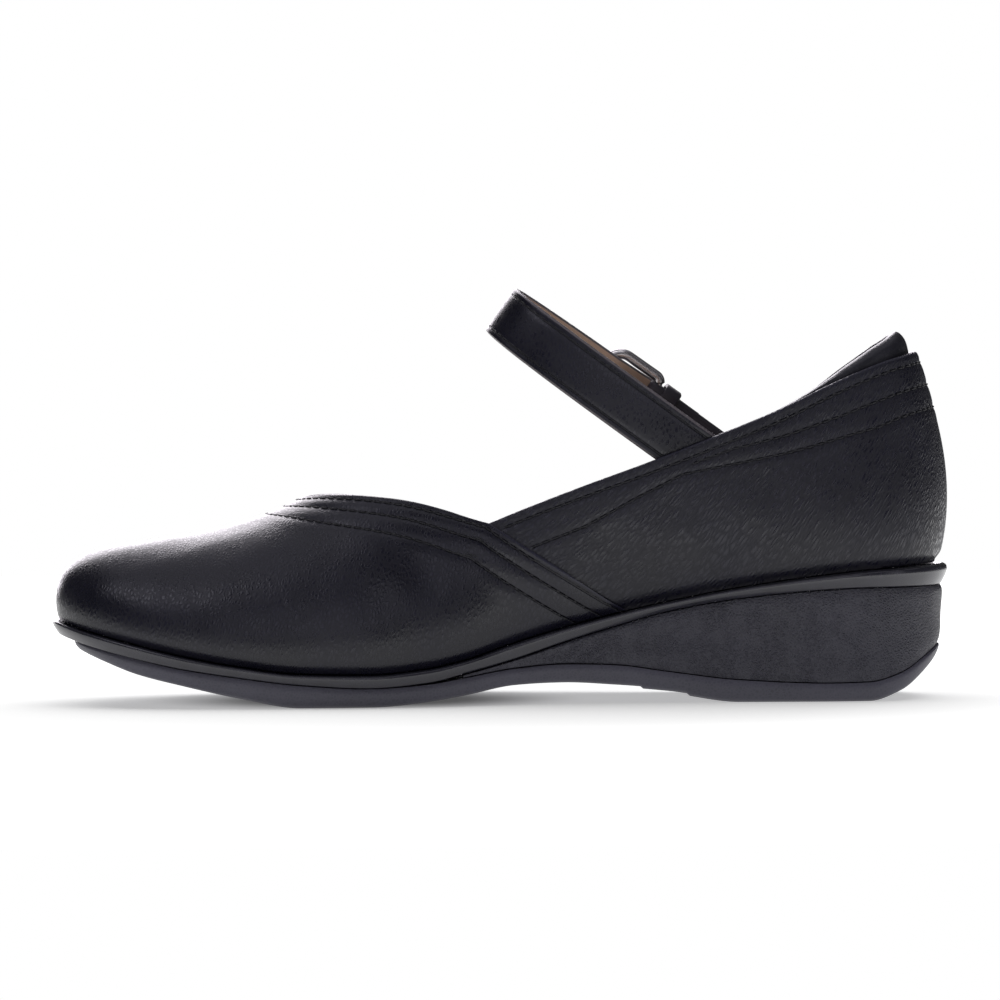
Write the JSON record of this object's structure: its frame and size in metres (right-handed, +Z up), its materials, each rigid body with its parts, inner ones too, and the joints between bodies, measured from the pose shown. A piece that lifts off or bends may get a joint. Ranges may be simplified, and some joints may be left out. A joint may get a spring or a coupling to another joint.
{
  "type": "mary jane shoe",
  "caption": "Right mary jane shoe: black leather upper with a V-shaped throat, buckled ankle strap and padded heel collar on a low rubber wedge sole.",
  "frame": {"origin": "middle of the heel's flat tread, on the floor", "axes": "+Z up, the toe points along -X, the medial side faces -Y"},
  "size_m": [0.2557, 0.0918, 0.1173],
  "materials": {
    "outsole_rubber": "matte moulded rubber",
    "wedge_rubber": "finely textured matte rubber",
    "rim_rubber": "smooth semi-gloss rubber",
    "sock_lining": "soft matte sock lining",
    "black_leather": "soft pebbled leather with a low sheen",
    "black_lining": "smooth padded lining leather",
    "strap_leather": "pebbled strap leather",
    "gunmetal": "dark polished metal"
  },
  "bodies": {
    "root": {"outsole": "outsole_rubber", "wedge_midsole": "wedge_rubber", "sole_rim": "rim_rubber", "insole": "sock_lining", "upper": "black_leather", "collar_pad": "black_lining", "strap": "strap_leather", "buckle_tab": "strap_leather", "keeper": "strap_leather", "buckle_frame": "gunmetal", "buckle_prong": "gunmetal"}
  },
  "joints": []
}
